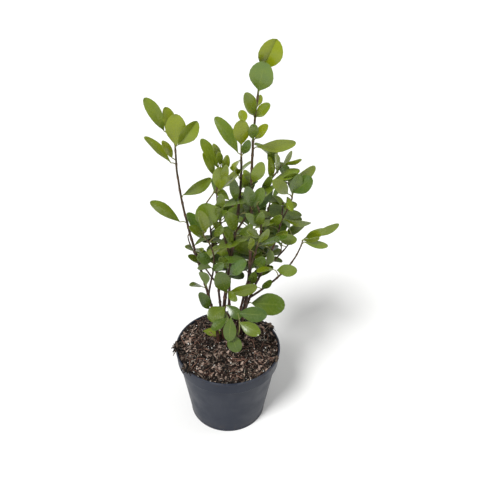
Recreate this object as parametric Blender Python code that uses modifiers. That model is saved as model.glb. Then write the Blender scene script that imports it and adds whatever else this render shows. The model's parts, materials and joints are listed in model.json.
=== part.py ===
"""A young New Zealand broadleaf in a round nursery pot.

A turned plastic pot holds the compost, thin woody stems stand on the compost, side boughs leave
the stems, and each mass of leaves is one uneven solid with the limbs that run through it left clear.
Metres, +Z up, origin at the middle of the pot's flat underside. The face that the photograph shows
is towards -Y.
"""

import math

import bmesh
import bpy
from mathutils import Matrix, Vector, noise
from mathutils.bvhtree import BVHTree

# Pot
RIM_DIAMETER = 0.105
POT_HEIGHT = 0.0845
BASE_DIAMETER = 0.0770
WALL_TOP_DIAMETER = 0.098
COLLAR_DEPTH = 0.0145
COLLAR_TAPER = 0.0012
WALL = 0.0013
FLOOR = 0.0018
BASE_ROUND = 0.0012
LIP_ROUND = 0.0006
TURN_STEPS = 36
TURN_WELD = 0.00001

# Compost, which is level where the stems stand and uneven towards the rim
COMPOST_TOP = 0.0805
LEVEL_RADIUS = 0.028
COMPOST_ROUGHNESS = 0.0016
COMPOST_LUMP = 0.014
COMPOST_RINGS = 3

# Limbs
LIMB_POINTS = 8
LIMB_SIDES = 2
FLARE = 0.55
FLARE_HEIGHT = 0.007
BELOW_GROUND = 0.004

# Masses of leaves
MASS_DETAIL = 2
MASS_NECK = 0.55
MASS_UNEVENNESS = 0.16
MASS_GRAIN = 1.4
MASS_BACKSET = 0.0025
BACK_DEPTH = 0.050
FACING_FRONT = (0.0, -0.6, 0.8)
FACING_BACK = (0.0, 0.6, 0.8)
YOUNG_FROM = 0.265
GROWN_FROM = 0.165

# Clear distance between pieces that touch, the weld that closes a seam, how near a cut counts as
# through a corner, and the angle from which an edge is drawn sharp
GAP = 0.0003
WELD = 0.000001
TRIM_REACH = 0.0000001
SHARP_ANGLE = math.radians(50)

# Every standing stem: foot (x, y), lean at the foot, top (x, y, z), lean at the top, and the
# diameters at foot and top. A lean is the sideways travel for each metre of rise.
STEMS = {
    "stem_left": ((-0.009, 0.007), (-0.08, 0.0), (-0.044, 0.016, 0.297), (0.03, 0.0), (0.0028, 0.0014)),
    "stem_middle": ((-0.004, 0.012), (-0.06, 0.0), (0.011, 0.004, 0.294), (-0.03, 0.0), (0.0036, 0.0016)),
    "stem_tall": ((0.006, 0.009), (0.30, 0.0), (0.026, -0.002, 0.370), (0.17, -0.05), (0.0034, 0.0013)),
    "stem_right": ((0.013, 0.017), (-0.04, 0.05), (0.049, 0.020, 0.240), (-0.06, 0.05), (0.0028, 0.0012)),
    "stem_front": ((0.001, 0.003), (0.0, -0.10), (0.006, -0.010, 0.106), (0.20, -0.70), (0.0022, 0.0012)),
    "stem_back_left": ((-0.005, 0.017), (-0.05, 0.20), (-0.020, 0.045, 0.225), (-0.10, 0.10), (0.0026, 0.0012)),
    "stem_back_middle": ((0.001, 0.020), (0.0, 0.20), (0.006, 0.046, 0.250), (0.05, 0.05), (0.0028, 0.0013)),
    "stem_back_right": ((0.009, 0.021), (0.10, 0.20), (0.040, 0.050, 0.222), (0.20, 0.10), (0.0026, 0.0012)),
}

# Every side bough: the limb that it leaves, and where along it from 0 to 1, then as for a stem
# from its lean at the foot on.
BOUGHS = {
    "bough_left_short": ("stem_left", 0.28, (0.05, -0.15), (-0.021, -0.008, 0.223), (-0.60, -0.20),
                         (0.0018, 0.0010)),
    "bough_middle_left": ("stem_middle", 0.50, (-0.20, -0.20), (-0.009, -0.008, 0.273), (0.07, -0.10),
                          (0.0019, 0.0011)),
    "bough_middle_right": ("stem_middle", 0.64, (0.70, 0.20), (0.046, 0.018, 0.278), (0.80, 0.30),
                           (0.0018, 0.0010)),
    "bough_tall_side": ("stem_tall", 0.32, (0.12, -0.25), (0.025, -0.001, 0.250), (-0.40, 0.0),
                        (0.0020, 0.0011)),
    "bough_right_low": ("stem_right", 0.32, (1.00, -0.20), (0.065, -0.012, 0.221), (0.10, -0.30),
                        (0.0020, 0.0010)),
    "bough_right_fork": ("stem_right", 0.88, (0.35, -0.05), (0.054, 0.014, 0.260), (-0.50, 0.0),
                         (0.0014, 0.0010)),
    "bough_back_left": ("stem_back_left", 0.40, (-0.50, -0.10), (-0.038, 0.034, 0.195), (0.0, 0.0),
                        (0.0017, 0.0010)),
    "bough_back_right": ("stem_back_right", 0.40, (0.60, -0.10), (0.060, 0.030, 0.198), (0.0, 0.0),
                         (0.0017, 0.0010)),
}

# Every mass of leaves: the limb that carries it, where along that limb it starts, how far its
# outer end lies from there (x, y, z), its width and its thickness.
MASSES = {
    "leaves_top": ("stem_tall", 0.93, (0.011, -0.006, 0.047), 0.024, 0.013),
    "leaves_tall_upper": ("stem_tall", 0.84, (0.001, 0.004, 0.027), 0.024, 0.014),
    "leaves_tall_pair": ("stem_tall", 0.75, (0.009, -0.008, 0.027), 0.015, 0.011),
    "leaves_right_blade": ("stem_tall", 0.74, (0.036, 0.006, 0.018), 0.013, 0.008),
    "leaves_middle_top": ("stem_middle", 0.96, (-0.001, -0.006, 0.048), 0.015, 0.012),
    "leaves_middle_blade": ("stem_middle", 0.95, (-0.022, 0.010, 0.045), 0.012, 0.009),
    "leaves_left_outer": ("stem_left", 0.91, (-0.021, -0.008, 0.068), 0.016, 0.011),
    "leaves_left_inner": ("stem_left", 1.0, (0.011, 0.002, 0.034), 0.028, 0.012),
    "leaves_left_low": ("stem_left", 0.85, (-0.027, 0.010, 0.036), 0.013, 0.010),
    "leaves_left_blade": ("stem_left", 0.75, (0.024, 0.009, 0.022), 0.012, 0.009),
    "leaves_far_left": ("stem_left", 0.61, (-0.033, -0.006, 0.037), 0.011, 0.009),
    "leaves_inner_top": ("bough_middle_left", 0.93, (-0.011, 0.006, 0.044), 0.018, 0.013),
    "leaves_inner_low": ("bough_middle_left", 0.45, (0.006, -0.014, 0.048), 0.022, 0.015),
    "leaves_middle_side": ("stem_middle", 0.76, (0.014, -0.014, 0.046), 0.018, 0.012),
    "leaves_upper_right": ("bough_middle_right", 0.78, (0.001, 0.004, 0.034), 0.020, 0.014),
    "leaves_right_spike": ("bough_middle_right", 0.97, (0.020, 0.010, 0.002), 0.009, 0.008),
    "leaves_right_upper": ("bough_right_fork", 0.60, (0.004, 0.004, 0.032), 0.028, 0.016),
    "leaves_right_outer": ("bough_right_fork", 0.36, (0.023, -0.004, 0.045), 0.020, 0.013),
    "leaves_centre_upper": ("bough_tall_side", 0.84, (0.001, -0.006, 0.031), 0.026, 0.018),
    "leaves_centre_band": ("bough_tall_side", 0.42, (0.012, -0.020, 0.027), 0.024, 0.016),
    "leaves_left_short_top": ("bough_left_short", 0.92, (0.0, -0.009, 0.042), 0.028, 0.018),
    "leaves_left_short_low": ("bough_left_short", 0.30, (-0.018, -0.012, 0.036), 0.016, 0.014),
    "leaves_low_left": ("stem_left", 0.24, (-0.016, -0.010, 0.014), 0.018, 0.014),
    "leaves_front_left": ("stem_middle", 0.24, (-0.011, -0.026, 0.046), 0.018, 0.014),
    "leaves_front_middle": ("stem_middle", 0.34, (0.015, -0.030, 0.040), 0.024, 0.016),
    "leaves_front_low": ("stem_tall", 0.17, (0.004, -0.040, 0.016), 0.026, 0.016),
    "leaves_right_middle": ("stem_right", 0.72, (0.006, -0.010, 0.034), 0.018, 0.014),
    "leaves_right_side": ("stem_right", 0.66, (0.020, -0.024, 0.024), 0.016, 0.012),
    "leaves_right_inner": ("bough_right_low", 0.28, (0.020, -0.002, 0.022), 0.018, 0.012),
    "leaves_right_tip": ("bough_right_low", 0.96, (0.030, -0.006, 0.020), 0.020, 0.013),
    "leaves_right_low": ("stem_right", 0.26, (0.037, -0.026, 0.022), 0.026, 0.014),
    "leaves_foot_left": ("stem_front", 0.90, (-0.024, 0.004, 0.018), 0.022, 0.014),
    "leaves_foot_right": ("stem_front", 0.90, (0.026, -0.004, 0.014), 0.022, 0.016),
    "leaves_foot_front": ("stem_front", 0.98, (-0.001, -0.016, -0.006), 0.020, 0.013),
    "leaves_back_left": ("stem_back_left", 0.90, (-0.004, 0.008, 0.030), 0.030, 0.022),
    "leaves_back_left_low": ("stem_back_left", 0.35, (-0.004, 0.032, 0.030), 0.034, 0.022),
    "leaves_back_left_side": ("bough_back_left", 0.90, (-0.014, 0.006, 0.022), 0.024, 0.020),
    "leaves_back_middle": ("stem_back_middle", 0.92, (0.002, 0.006, 0.030), 0.030, 0.022),
    "leaves_back_middle_low": ("stem_back_middle", 0.50, (0.004, 0.034, 0.030), 0.032, 0.022),
    "leaves_back_right": ("stem_back_right", 0.90, (0.004, 0.010, 0.028), 0.030, 0.022),
    "leaves_back_right_low": ("stem_back_right", 0.32, (0.012, 0.030, 0.026), 0.032, 0.020),
    "leaves_back_right_side": ("bough_back_right", 0.90, (0.016, 0.006, 0.020), 0.024, 0.020),
}

# Every material: its colour and its roughness
FINISHES = {
    "pot_plastic": ((0.055, 0.065, 0.085, 1.0), 0.50),
    "compost": ((0.045, 0.028, 0.018, 1.0), 0.95),
    "bark": ((0.060, 0.028, 0.018, 1.0), 0.80),
    "young_bark": ((0.085, 0.050, 0.022, 1.0), 0.65),
    "leaves_young": ((0.13, 0.24, 0.03, 1.0), 0.45),
    "leaves_grown": ((0.08, 0.18, 0.03, 1.0), 0.45),
    "leaves_old": ((0.05, 0.13, 0.05, 1.0), 0.45),
}


def new_collection(name, helper=False):
    collection = bpy.data.collections.new(name)
    bpy.context.scene.collection.children.link(collection)
    collection.hide_render = helper
    return collection


def new_material(name):
    colour, roughness = FINISHES[name]
    material = bpy.data.materials.new(name)
    material.use_nodes = True
    material.diffuse_color = colour
    shader = material.node_tree.nodes["Principled BSDF"]
    shader.inputs["Base Color"].default_value = colour
    shader.inputs["Roughness"].default_value = roughness
    shader.inputs["Metallic"].default_value = 0.0
    return material


def mesh_object(name, mesh, collection, material=None):
    obj = bpy.data.objects.new(name, mesh)
    collection.objects.link(obj)
    if material:
        mesh.materials.clear()
        mesh.materials.append(material)
    return obj


def cutter_object(name, mesh, cutters):
    obj = mesh_object(name, mesh, cutters)
    obj.hide_render = True
    obj.display_type = "WIRE"
    return obj


def evaluated_mesh(obj):
    """The mesh that an object makes with its curve bevel and modifiers, seams welded."""
    bpy.context.view_layer.update()
    graph = bpy.context.evaluated_depsgraph_get()
    mesh = bpy.data.meshes.new_from_object(obj.evaluated_get(graph))
    shape = bmesh.new()
    shape.from_mesh(mesh)
    bmesh.ops.remove_doubles(shape, verts=shape.verts, dist=WELD)
    shape.to_mesh(mesh)
    shape.free()
    return mesh


def smooth(mesh):
    mesh.shade_smooth()
    mesh.set_sharp_from_angle(angle=SHARP_ANGLE)


def keep_largest_piece(mesh):
    """Drops the shavings that a cut can leave beside the main body."""
    shape = bmesh.new()
    shape.from_mesh(mesh)
    unseen = set(shape.verts)
    pieces = []
    while unseen:
        piece = {unseen.pop()}
        edge_of_search = list(piece)
        while edge_of_search:
            vertex = edge_of_search.pop()
            for edge in vertex.link_edges:
                other = edge.other_vert(vertex)
                if other in unseen:
                    unseen.remove(other)
                    piece.add(other)
                    edge_of_search.append(other)
        pieces.append(piece)
    pieces.sort(key=len)
    for piece in pieces[:-1]:
        bmesh.ops.delete(shape, geom=list(piece), context="VERTS")
    shape.to_mesh(mesh)
    shape.free()


def cut(obj, cutter):
    """Takes the cutter out of the object for good."""
    modifier = obj.modifiers.new("clear_of_" + cutter.name, "BOOLEAN")
    modifier.operation = "DIFFERENCE"
    modifier.solver = "EXACT"
    modifier.object = cutter
    mesh = evaluated_mesh(obj)
    obj.modifiers.remove(modifier)
    keep_largest_piece(mesh)
    old = obj.data
    obj.data = mesh
    bpy.data.meshes.remove(old)


def surface_tree(mesh):
    points = [vertex.co for vertex in mesh.vertices]
    return BVHTree.FromPolygons(points, [polygon.vertices[:] for polygon in mesh.polygons])


# Pot

def pot_profile():
    """Half of the pot's section, from the middle of the floor up the inside and down the outside."""
    rim = RIM_DIAMETER / 2
    base = BASE_DIAMETER / 2
    wall_top = WALL_TOP_DIAMETER / 2
    collar_bottom = POT_HEIGHT - COLLAR_DEPTH
    return [
        (0.0, FLOOR),
        (base - WALL, FLOOR),
        (wall_top - WALL, collar_bottom - WALL),
        (rim - COLLAR_TAPER - WALL, collar_bottom + WALL),
        (rim - WALL, POT_HEIGHT - LIP_ROUND),
        (rim - WALL + LIP_ROUND / 2, POT_HEIGHT),
        (rim - LIP_ROUND / 2, POT_HEIGHT),
        (rim, POT_HEIGHT - LIP_ROUND),
        (rim - COLLAR_TAPER, collar_bottom),
        (wall_top, collar_bottom),
        (base, BASE_ROUND),
        (base - BASE_ROUND, 0.0),
        (0.0, 0.0),
    ]


def compost_profile():
    """Half of the compost's section inside the pot, up its side and then in over its top."""
    base = BASE_DIAMETER / 2
    wall_top = WALL_TOP_DIAMETER / 2
    rim = RIM_DIAMETER / 2
    collar_bottom = POT_HEIGHT - COLLAR_DEPTH
    clear = WALL + 2 * GAP
    edge = rim - COLLAR_TAPER - clear
    rings = [
        (LEVEL_RADIUS + (edge - LEVEL_RADIUS) * (COMPOST_RINGS - step) / COMPOST_RINGS, COMPOST_TOP)
        for step in range(COMPOST_RINGS)
    ]
    return [
        (0.0, FLOOR + GAP),
        (base - clear, FLOOR + GAP),
        (wall_top - clear, collar_bottom - WALL),
        (edge, collar_bottom + WALL + GAP),
        *rings,
        (LEVEL_RADIUS, COMPOST_TOP),
        (0.0, COMPOST_TOP),
    ]


def turned_object(name, profile, collection, material):
    """A profile turned once round the pot's axis."""
    mesh = bpy.data.meshes.new(name)
    edges = [(index, index + 1) for index in range(len(profile) - 1)]
    mesh.from_pydata([(radius, 0.0, height) for radius, height in profile], edges, [])
    obj = mesh_object(name, mesh, collection, material)
    turn = obj.modifiers.new("turn", "SCREW")
    turn.axis = "Z"
    turn.angle = math.tau
    turn.steps = TURN_STEPS
    turn.render_steps = TURN_STEPS
    turn.use_merge_vertices = True
    turn.merge_threshold = TURN_WELD
    turn.use_smooth_shade = True
    return obj


def make_pot(collection):
    return turned_object("pot", pot_profile(), collection, new_material("pot_plastic"))


def make_compost(collection):
    """The compost's top falls a little towards the rim and is uneven outside the level middle."""
    material = new_material("compost")
    obj = turned_object("compost", list(reversed(compost_profile())), collection, material)
    mesh = evaluated_mesh(obj)
    bpy.data.objects.remove(obj)
    for vertex in mesh.vertices:
        radius = math.hypot(vertex.co.x, vertex.co.y)
        if vertex.co.z > COMPOST_TOP - GAP and radius > LEVEL_RADIUS + GAP:
            vertex.co.z += COMPOST_ROUGHNESS * noise.noise(vertex.co / COMPOST_LUMP)
    smooth(mesh)
    return mesh_object("compost", mesh, collection, material)


# Limbs

def limb_point(limb, share):
    """A point along a limb. Its height rises evenly and its sideways place follows a cubic."""
    foot, foot_lean, top, top_lean = limb["foot"], limb["foot_lean"], limb["top"], limb["top_lean"]
    rise = top.z - foot.z
    t = share
    start = 2 * t**3 - 3 * t**2 + 1
    start_lean = (t**3 - 2 * t**2 + t) * rise
    end = 3 * t**2 - 2 * t**3
    end_lean = (t**3 - t**2) * rise
    x = start * foot.x + start_lean * foot_lean[0] + end * top.x + end_lean * top_lean[0]
    y = start * foot.y + start_lean * foot_lean[1] + end * top.y + end_lean * top_lean[1]
    return Vector((x, y, foot.z + rise * t))


def limb_radius(limb, share):
    """Half the thickness, with a taper to the top and a flare where a stem meets the compost."""
    thick, thin = limb["girth"]
    radius = (thick + (thin - thick) * share) / 2
    if limb["stands"]:
        height = max(0.0, share) * (limb["top"].z - limb["foot"].z)
        radius *= 1 + FLARE * math.exp(-height / FLARE_HEIGHT)
    return radius


def read_limbs():
    """Every limb by name, with the boughs' feet placed on the limbs that carry them."""
    limbs = {}
    for name, (foot, foot_lean, top, top_lean, girth) in STEMS.items():
        limbs[name] = {
            "foot": Vector((*foot, COMPOST_TOP)),
            "foot_lean": foot_lean,
            "top": Vector(top),
            "top_lean": top_lean,
            "girth": girth,
            "stands": True,
            "carrier": None,
        }
    for name, (carrier, share, foot_lean, top, top_lean, girth) in BOUGHS.items():
        limbs[name] = {
            "foot": limb_point(limbs[carrier], share),
            "foot_lean": foot_lean,
            "top": Vector(top),
            "top_lean": top_lean,
            "girth": girth,
            "stands": False,
            "carrier": carrier,
        }
    return limbs


def limb_mesh(name, limb, collection, clear=0.0):
    """The limb as a closed tube, thicker all round by the clear distance when it's a cutter."""
    rise = limb["top"].z - limb["foot"].z
    first = -BELOW_GROUND / rise if limb["stands"] else 0.0
    last = 1 + clear / rise
    shares = [first + (last - first) * step / (LIMB_POINTS - 1) for step in range(LIMB_POINTS)]
    if limb["stands"]:
        shares = sorted([*shares, FLARE_HEIGHT / rise])
    curve = bpy.data.curves.new(name, "CURVE")
    curve.dimensions = "3D"
    curve.bevel_depth = 1.0
    curve.bevel_resolution = LIMB_SIDES
    curve.use_fill_caps = True
    spline = curve.splines.new("POLY")
    spline.points.add(len(shares) - 1)
    for point, share in zip(spline.points, shares):
        point.co = (*limb_point(limb, share), 1.0)
        point.radius = limb_radius(limb, share) + clear
    guide = bpy.data.objects.new(name + "_guide", curve)
    collection.objects.link(guide)
    mesh = evaluated_mesh(guide)
    bpy.data.objects.remove(guide)
    return mesh


def ground_cutter(cutters):
    """A block whose top is the level that the stems' flat feet stand on."""
    shape = bmesh.new()
    bmesh.ops.create_cube(shape, size=1.0)
    side = RIM_DIAMETER
    bmesh.ops.scale(shape, verts=shape.verts, vec=(side, side, COMPOST_TOP))
    bmesh.ops.translate(shape, verts=shape.verts, vec=(0, 0, COMPOST_TOP / 2 + GAP))
    mesh = bpy.data.meshes.new("ground")
    shape.to_mesh(mesh)
    shape.free()
    return cutter_object("ground", mesh, cutters)


def make_limbs(limbs, collection, cutters):
    """The stems and boughs, and a slightly fatter cutter for each."""
    old_bark = new_material("bark")
    young_bark = new_material("young_bark")
    ground = ground_cutter(cutters)
    around = {
        name: cutter_object("around_" + name, limb_mesh(name, limb, cutters, GAP), cutters)
        for name, limb in limbs.items()
    }
    for name, limb in limbs.items():
        bark = old_bark if limb["stands"] else young_bark
        obj = mesh_object(name, limb_mesh(name, limb, cutters), collection, bark)
        cut(obj, ground if limb["stands"] else around[limb["carrier"]])
        smooth(obj.data)
    return around


# Masses of leaves

def mass_mesh(name, start, reach, width, thickness, seed):
    """An uneven egg with its narrow end at the limb, broad side turned up and to the front."""
    length = reach.length + MASS_BACKSET
    along = reach.normalized()
    facing = Vector(FACING_BACK if start.y + reach.y > BACK_DEPTH else FACING_FRONT)
    across = along.cross(facing).normalized()
    outward = across.cross(along)
    turn = Matrix((across, outward, along)).transposed()
    shape = bmesh.new()
    bmesh.ops.create_icosphere(shape, subdivisions=MASS_DETAIL, radius=1.0)
    for vertex in shape.verts:
        way = vertex.co.normalized()
        swell = 1 + MASS_UNEVENNESS * noise.noise(way * MASS_GRAIN + Vector((seed, -seed, seed / 2)))
        neck = MASS_NECK + (1 - MASS_NECK) * math.sqrt((way.z + 1) / 2)
        vertex.co = Vector((
            way.x * swell * neck * width / 2,
            way.y * swell * neck * thickness / 2,
            way.z * length / 2,
        ))
    middle = start + along * (length / 2 - MASS_BACKSET)
    bmesh.ops.transform(shape, matrix=Matrix.Translation(middle) @ turn.to_4x4(), verts=shape.verts)
    mesh = bpy.data.meshes.new(name)
    shape.to_mesh(mesh)
    shape.free()
    return mesh


def trim_to_plane(mesh, point, normal):
    """Cuts a mass flat, and drops what lies on the normal's side."""
    shape = bmesh.new()
    shape.from_mesh(mesh)
    geometry = [*shape.verts, *shape.edges, *shape.faces]
    found = bmesh.ops.bisect_plane(
        shape, geom=geometry, plane_co=point, plane_no=normal, clear_outer=True, dist=TRIM_REACH
    )
    edges = [item for item in found["geom_cut"] if isinstance(item, bmesh.types.BMEdge)]
    bmesh.ops.holes_fill(shape, edges=edges, sides=0)
    bmesh.ops.recalc_face_normals(shape, faces=shape.faces)
    shape.to_mesh(mesh)
    shape.free()


def middle_of(mesh):
    return sum((vertex.co for vertex in mesh.vertices), Vector()) / len(mesh.vertices)


def part_masses(meshes):
    """Where two masses press together, both are cut flat with the clear distance between them."""
    names = list(meshes)
    for index, first in enumerate(names):
        for second in names[index + 1:]:
            one, other = meshes[first], meshes[second]
            if not surface_tree(one).overlap(surface_tree(other)):
                continue
            way = (middle_of(other) - middle_of(one)).normalized()
            far = max(vertex.co.dot(way) for vertex in one.vertices)
            near = min(vertex.co.dot(way) for vertex in other.vertices)
            point = way * (far + near) / 2
            trim_to_plane(one, point - way * GAP, way)
            trim_to_plane(other, point + way * GAP, -way)


def leaf_age(height):
    """The youngest leaves are at the top of the plant and the oldest at its foot."""
    if height > YOUNG_FROM:
        return "leaves_young"
    return "leaves_grown" if height > GROWN_FROM else "leaves_old"


def make_masses(limbs, around, collection):
    ages = {age: new_material(age) for age in ("leaves_young", "leaves_grown", "leaves_old")}
    meshes = {}
    for seed, (name, (carrier, share, reach, width, thickness)) in enumerate(MASSES.items()):
        start = limb_point(limbs[carrier], share)
        meshes[name] = mass_mesh(name, start, Vector(reach), width, thickness, seed)
    part_masses(meshes)
    limb_trees = {name: surface_tree(cutter.data) for name, cutter in around.items()}
    for name, mesh in meshes.items():
        obj = mesh_object(name, mesh, collection, ages[leaf_age(middle_of(mesh).z)])
        tree = surface_tree(mesh)
        for limb_name, cutter in around.items():
            if tree.overlap(limb_trees[limb_name]):
                cut(obj, cutter)
        smooth(obj.data)


# The whole plant

def clear_scene():
    for obj in list(bpy.data.objects):
        bpy.data.objects.remove(obj)


def make_plant():
    clear_scene()
    collection = new_collection("potted_broadleaf")
    cutters = new_collection("cutters", helper=True)
    make_pot(collection)
    make_compost(collection)
    limbs = read_limbs()
    around = make_limbs(limbs, collection, cutters)
    make_masses(limbs, around, collection)


make_plant()
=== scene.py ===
import json
import math
import random

import bpy
from mathutils import Matrix, Vector, noise


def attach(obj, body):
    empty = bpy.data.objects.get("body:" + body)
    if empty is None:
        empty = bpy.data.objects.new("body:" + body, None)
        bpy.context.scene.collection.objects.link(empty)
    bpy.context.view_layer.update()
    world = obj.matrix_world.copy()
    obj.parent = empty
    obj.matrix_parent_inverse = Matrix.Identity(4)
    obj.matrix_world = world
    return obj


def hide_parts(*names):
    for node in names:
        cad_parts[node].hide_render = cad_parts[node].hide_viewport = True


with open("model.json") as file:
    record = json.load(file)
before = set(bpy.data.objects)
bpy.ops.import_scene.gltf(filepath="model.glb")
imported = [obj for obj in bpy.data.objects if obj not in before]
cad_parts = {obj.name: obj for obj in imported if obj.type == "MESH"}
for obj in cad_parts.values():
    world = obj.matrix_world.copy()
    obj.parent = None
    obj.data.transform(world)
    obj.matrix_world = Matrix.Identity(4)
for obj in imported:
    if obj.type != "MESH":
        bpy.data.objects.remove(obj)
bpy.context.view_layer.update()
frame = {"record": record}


# View
# A potted shrub on a pale studio table, seen from the front and from above. The camera was worked
# out from the round of the pot's rim and base. Light is soft and comes from above and the left.

PHOTO_SIZE = 480
FOCAL_PIXELS = 620
PLANT_COLUMN = 227.9
EYE = Vector((0.0, -0.4562, 0.5256))
LOOK_DOWN = math.radians(34.4)
SENSOR = 36.0

FLOOR_SIZE = 6.0
FLOOR_COLOUR = (0.86, 0.86, 0.85, 1.0)
FLOOR_ROUGHNESS = 0.9
SKY_COLOUR = (1.0, 1.0, 1.0, 1.0)
SKY_STRENGTH = 0.50

# Each light shines like a wide far window: where it comes from, how wide it looks in degrees, and
# its strength
WINDOWS = {
    "key_window": ((-0.50, -0.66, 1.10), 18.0, 3.1),
    "side_window": ((1.00, 0.10, 0.70), 30.0, 0.45),
}


def sight(pixel, y=None, z=None):
    """The point seen at a pixel of the photograph, on the upright plane y or on the level z."""
    across = (pixel[0] - PLANT_COLUMN) / FOCAL_PIXELS
    up = (PHOTO_SIZE / 2 - pixel[1]) / FOCAL_PIXELS
    way = Vector((
        across,
        math.cos(LOOK_DOWN) + up * math.sin(LOOK_DOWN),
        -math.sin(LOOK_DOWN) + up * math.cos(LOOK_DOWN),
    ))
    distance = (y - EYE.y) / way.y if z is None else (z - EYE.z) / way.z
    return EYE + way * distance


def seen(point):
    """The pixel of the photograph at which a point shows."""
    way = point - EYE
    far = way.y * math.cos(LOOK_DOWN) - way.z * math.sin(LOOK_DOWN)
    up = way.y * math.sin(LOOK_DOWN) + way.z * math.cos(LOOK_DOWN)
    return Vector((
        PLANT_COLUMN + FOCAL_PIXELS * way.x / far,
        PHOTO_SIZE / 2 - FOCAL_PIXELS * up / far,
    ))


def place(name, data):
    """A new object in the scene, at the origin."""
    thing = bpy.data.objects.new(name, data)
    bpy.context.scene.collection.objects.link(thing)
    return thing


camera_data = bpy.data.cameras.new("camera")
camera_data.sensor_width = SENSOR
camera_data.lens = SENSOR * FOCAL_PIXELS / PHOTO_SIZE
camera_data.shift_x = (PHOTO_SIZE / 2 - PLANT_COLUMN) / PHOTO_SIZE
camera = place("camera", camera_data)
camera.location = EYE
camera.rotation_euler = (math.pi / 2 - LOOK_DOWN, 0.0, 0.0)
bpy.context.scene.camera = camera

for window_name, (window_place, window_width, window_strength) in WINDOWS.items():
    window_data = bpy.data.lights.new(window_name, "SUN")
    window_data.angle = math.radians(window_width)
    window_data.energy = window_strength
    window = place(window_name, window_data)
    window.location = window_place
    window.rotation_euler = window.location.to_track_quat("Z", "Y").to_euler()

world = bpy.data.worlds.new("studio")
world.use_nodes = True
world.node_tree.nodes["Background"].inputs["Color"].default_value = SKY_COLOUR
world.node_tree.nodes["Background"].inputs["Strength"].default_value = SKY_STRENGTH
bpy.context.scene.world = world
bpy.context.scene.view_settings.view_transform = "Standard"

half = FLOOR_SIZE / 2
floor_corners = [(-half, -half, 0.0), (half, -half, 0.0), (half, half, 0.0), (-half, half, 0.0)]
floor_mesh = bpy.data.meshes.new("floor")
floor_mesh.from_pydata(floor_corners, [], [(0, 1, 2, 3)])
floor_material = bpy.data.materials.new("floor")
floor_material.use_nodes = True
floor_shader = floor_material.node_tree.nodes["Principled BSDF"]
floor_shader.inputs["Base Color"].default_value = FLOOR_COLOUR
floor_shader.inputs["Roughness"].default_value = FLOOR_ROUGHNESS
floor_mesh.materials.append(floor_material)
place("floor", floor_mesh)


# Pot
# A round nursery pot, injection moulded in one piece from dark slate grey polypropylene: a thin
# tapered wall, a deeper collar round the mouth, and a foot ring with drain holes round the base.

RIM_RADIUS = 0.0525
POT_HEIGHT = 0.0845
BASE_RADIUS = 0.0385
WALL_TOP_RADIUS = 0.049
COLLAR_BOTTOM = 0.070
COLLAR_TAPER = 0.0012
WALL = 0.0013
POT_FLOOR = 0.0018
FOOT_RING = 0.0045
FOOT_RECESS = 0.0009
POT_TURNS = 128

DRAIN_HOLES = 8
DRAIN_CIRCLE = 0.0285
DRAIN_RADIUS = 0.0042
DRAIN_DEPTH = 0.010
DRAIN_SIDES = 20

PLASTIC_DARK = (0.012, 0.016, 0.028, 1.0)
PLASTIC_PALE = (0.020, 0.025, 0.040, 1.0)
PLASTIC_WORN = (0.065, 0.070, 0.086, 1.0)
SOIL_DUST = (0.060, 0.045, 0.034, 1.0)
PLASTIC_GLOSS = 0.16
PLASTIC_GRAIN = 900.0
PLASTIC_GRAIN_DEPTH = 0.00006
FLOW_WAVES = 26.0
FLOW_STRETCH = (1.0, 1.0, 0.35)
SCUFF_STRETCH = (1.0, 1.0, 0.12)

# Marks on the plastic: waves per metre, detail, and the noise at which each starts and is full
SCUFFS = (420.0, 5.0, 0.58, 0.74)
CLOUDS = (60.0, 4.0, 0.35, 0.70)
LIP_WEAR = (150.0, 4.0, 0.30, 0.60)
RIM_DUST = (330.0, 4.0, 0.56, 0.66)
FOOT_DUST = (210.0, 4.0, 0.48, 0.62)

# How far down from the mouth the lip wears and dust lies, and how far up from the foot
LIP_WEAR_DEPTH = 0.0022
RIM_DUST_DEPTH = 0.010
FOOT_DUST_HEIGHT = 0.014


class Wire:
    """The output of a node. Sums on it add their Math nodes to its tree."""

    def __init__(self, sheet, socket):
        self.sheet = sheet
        self.socket = socket

    def maths(self, operation, *values):
        return self.sheet.node("ShaderNodeMath", {"operation": operation}, dict(enumerate(values)))

    def __add__(self, other):
        return self.maths("ADD", self, other)

    def __sub__(self, other):
        return self.maths("SUBTRACT", self, other)

    def __rsub__(self, other):
        return self.maths("SUBTRACT", other, self)

    def __mul__(self, other):
        return self.maths("MULTIPLY", self, other)

    def __abs__(self):
        return self.maths("ABSOLUTE", self)

    __radd__ = __add__
    __rmul__ = __mul__

    def zigzag(self, reach):
        """Up from 0 to the reach and down again, over and over."""
        return self.maths("PINGPONG", self, reach)

    def between(self, low, high):
        """0 below low, 1 above high and even between them; low may be the larger."""
        span = {1: low, 2: high, 3: 0.0, 4: 1.0}
        return self.sheet.node("ShaderNodeMapRange", {}, {0: self, **span})

    def kept(self):
        """Held from 0 to 1."""
        return self.between(0.0, 1.0)


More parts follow.
